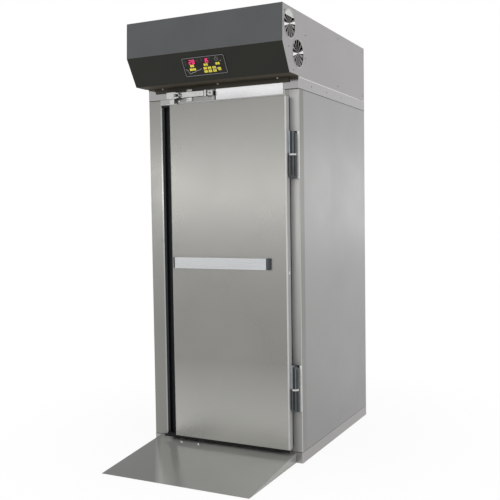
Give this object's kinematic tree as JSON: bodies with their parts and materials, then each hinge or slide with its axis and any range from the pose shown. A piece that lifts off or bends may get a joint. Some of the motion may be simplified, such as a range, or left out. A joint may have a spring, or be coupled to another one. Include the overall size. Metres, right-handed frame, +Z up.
{
  "type": "retarder proofer",
  "caption": "Insulated cabinet for a rack trolley with a hinged door, a dark sloped control fascia, side fan guards and an entry ramp.",
  "frame": {"origin": "The centre of the cabinet's underside, where the floor panel rests on the floor.", "axes": "+Z is up, +X is to the right seen from the front, and +Y is towards the rear, so the door and the ramp face -Y."},
  "size_m": [0.98, 1.735, 2.5],
  "materials": {
    "cabinet_steel": "satin stainless panels, brushed upright",
    "stainless": "satin stainless sheet",
    "polished_steel": "bright stainless trim",
    "ramp_steel": "bright stainless tread plate",
    "fascia_paint": "dark grey lacquered sheet",
    "fan_plastic": "dark grey moulded plastic",
    "compressor_paint": "black enamel",
    "coil_aluminium": "rolled aluminium fins on copper tubes",
    "bezel_plastic": "black membrane panel",
    "display_plastic": "dark red display windows",
    "key_plastic": "pale yellow key caps",
    "hinge_plastic": "black reinforced plastic",
    "washer_plastic": "pale nylon collar and pin",
    "closer_steel": "bright nickel-plated steel",
    "roller_plastic": "black nylon roller",
    "seal_rubber": "soft black extruded seal",
    "grip_plastic": "black extruded plastic",
    "bumper_aluminium": "anodised ribbed extrusion"
  },
  "bodies": {
    "cabinet": {"floor_panel": "cabinet_steel", "left_wall": "cabinet_steel", "right_wall": "cabinet_steel", "rear_wall": "cabinet_steel", "ceiling_panel": "cabinet_steel", "left_post": "cabinet_steel", "right_post": "cabinet_steel", "door_frame": "stainless", "ramp": "ramp_steel", "hood_right_side": "stainless", "hood_left_side": "stainless", "hood_cover": "stainless", "front_fascia": "fascia_paint", "hood_tray": "stainless", "front_vent_grille": "stainless", "rear_vent_grille": "stainless", "left_vent_grilles": "stainless", "compressor": "compressor_paint", "condenser": "coil_aluminium", "control_bezel": "bezel_plastic", "displays": "display_plastic", "hinge_post_leaves": "hinge_plastic", "hinge_pins": "washer_plastic", "header_plate": "polished_steel", "closer_plate": "closer_steel", "closer_body": "closer_steel", "closer_arm": "closer_steel", "duct_panel": "stainless", "evaporator": "coil_aluminium", "heater_element": "closer_steel", "steam_pipe": "closer_steel", "trolley_guides": "stainless"},
    "door": {"door_leaf": "stainless", "door_liner": "stainless", "door_seals": "seal_rubber", "grip_profile": "grip_plastic", "grip_caps": "grip_plastic", "bumper_rail": "bumper_aluminium", "bumper_caps": "grip_plastic", "hinge_door_leaves": "hinge_plastic", "striker_bracket": "closer_steel"},
    "roller": {"striker_roller": "roller_plastic"},
    "front_fan": {"front_vent_fan": "fan_plastic"},
    "rear_fan": {"rear_vent_fan": "fan_plastic"},
    "air_fan": {"circulation_fan": "fan_plastic"},
    "key_temperature_minus": {"key_temperature_minus": "key_plastic"},
    "key_temperature_plus": {"key_temperature_plus": "key_plastic"},
    "key_phase_back": {"key_phase_back": "key_plastic"},
    "key_phase_next": {"key_phase_next": "key_plastic"},
    "key_humidity_minus": {"key_humidity_minus": "key_plastic"},
    "key_humidity_plus": {"key_humidity_plus": "key_plastic"},
    "key_time_minus": {"key_time_minus": "key_plastic"},
    "key_time_plus": {"key_time_plus": "key_plastic"},
    "key_start_stop": {"key_start_stop": "key_plastic"},
    "key_program_1": {"key_program_1": "key_plastic"},
    "key_program_2": {"key_program_2": "key_plastic"},
    "key_program_3": {"key_program_3": "key_plastic"},
    "key_program_4": {"key_program_4": "key_plastic"},
    "key_program_5": {"key_program_5": "key_plastic"},
    "key_program_6": {"key_program_6": "key_plastic"}
  },
  "joints": [
    {"name": "door_swing", "type": "hinge", "parent": "cabinet", "child": "door", "pos_m": [0.463, -0.603, 0.06], "axis": [0, 0, 1], "range_deg": [0, 110]},
    {"name": "roller_spin", "type": "hinge", "parent": "door", "child": "roller", "pos_m": [-0.266, -0.604, 2.098], "axis": [0, 0, 1], "continuous": true},
    {"name": "front_fan_spin", "type": "hinge", "parent": "cabinet", "child": "front_fan", "pos_m": [0.45, -0.685, 2.408], "axis": [1, 0, 0], "continuous": true},
    {"name": "rear_fan_spin", "type": "hinge", "parent": "cabinet", "child": "rear_fan", "pos_m": [0.45, -0.573, 2.271], "axis": [1, 0, 0], "continuous": true},
    {"name": "circulation_fan_spin", "type": "hinge", "parent": "cabinet", "child": "air_fan", "pos_m": [0, 0.43, 1.8], "axis": [0, -1, 0], "continuous": true},
    {"name": "press_temperature_minus", "type": "slide", "parent": "cabinet", "child": "key_temperature_minus", "axis": [0, 0.859, 0.512], "range_m": [0, 0.0006], "stiffness_N_per_m": 1500},
    {"name": "press_temperature_plus", "type": "slide", "parent": "cabinet", "child": "key_temperature_plus", "axis": [0, 0.859, 0.512], "range_m": [0, 0.0006], "stiffness_N_per_m": 1500},
    {"name": "press_phase_back", "type": "slide", "parent": "cabinet", "child": "key_phase_back", "axis": [0, 0.859, 0.512], "range_m": [0, 0.0006], "stiffness_N_per_m": 1500},
    {"name": "press_phase_next", "type": "slide", "parent": "cabinet", "child": "key_phase_next", "axis": [0, 0.859, 0.512], "range_m": [0, 0.0006], "stiffness_N_per_m": 1500},
    {"name": "press_humidity_minus", "type": "slide", "parent": "cabinet", "child": "key_humidity_minus", "axis": [0, 0.859, 0.512], "range_m": [0, 0.0006], "stiffness_N_per_m": 1500},
    {"name": "press_humidity_plus", "type": "slide", "parent": "cabinet", "child": "key_humidity_plus", "axis": [0, 0.859, 0.512], "range_m": [0, 0.0006], "stiffness_N_per_m": 1500},
    {"name": "press_time_minus", "type": "slide", "parent": "cabinet", "child": "key_time_minus", "axis": [0, 0.859, 0.512], "range_m": [0, 0.0006], "stiffness_N_per_m": 1500},
    {"name": "press_time_plus", "type": "slide", "parent": "cabinet", "child": "key_time_plus", "axis": [0, 0.859, 0.512], "range_m": [0, 0.0006], "stiffness_N_per_m": 1500},
    {"name": "press_start_stop", "type": "slide", "parent": "cabinet", "child": "key_start_stop", "axis": [0, 0.859, 0.512], "range_m": [0, 0.0006], "stiffness_N_per_m": 1500},
    {"name": "press_program_1", "type": "slide", "parent": "cabinet", "child": "key_program_1", "axis": [0, 0.859, 0.512], "range_m": [0, 0.0006], "stiffness_N_per_m": 1500},
    {"name": "press_program_2", "type": "slide", "parent": "cabinet", "child": "key_program_2", "axis": [0, 0.859, 0.512], "range_m": [0, 0.0006], "stiffness_N_per_m": 1500},
    {"name": "press_program_3", "type": "slide", "parent": "cabinet", "child": "key_program_3", "axis": [0, 0.859, 0.512], "range_m": [0, 0.0006], "stiffness_N_per_m": 1500},
    {"name": "press_program_4", "type": "slide", "parent": "cabinet", "child": "key_program_4", "axis": [0, 0.859, 0.512], "range_m": [0, 0.0006], "stiffness_N_per_m": 1500},
    {"name": "press_program_5", "type": "slide", "parent": "cabinet", "child": "key_program_5", "axis": [0, 0.859, 0.512], "range_m": [0, 0.0006], "stiffness_N_per_m": 1500},
    {"name": "press_program_6", "type": "slide", "parent": "cabinet", "child": "key_program_6", "axis": [0, 0.859, 0.512], "range_m": [0, 0.0006], "stiffness_N_per_m": 1500}
  ]
}
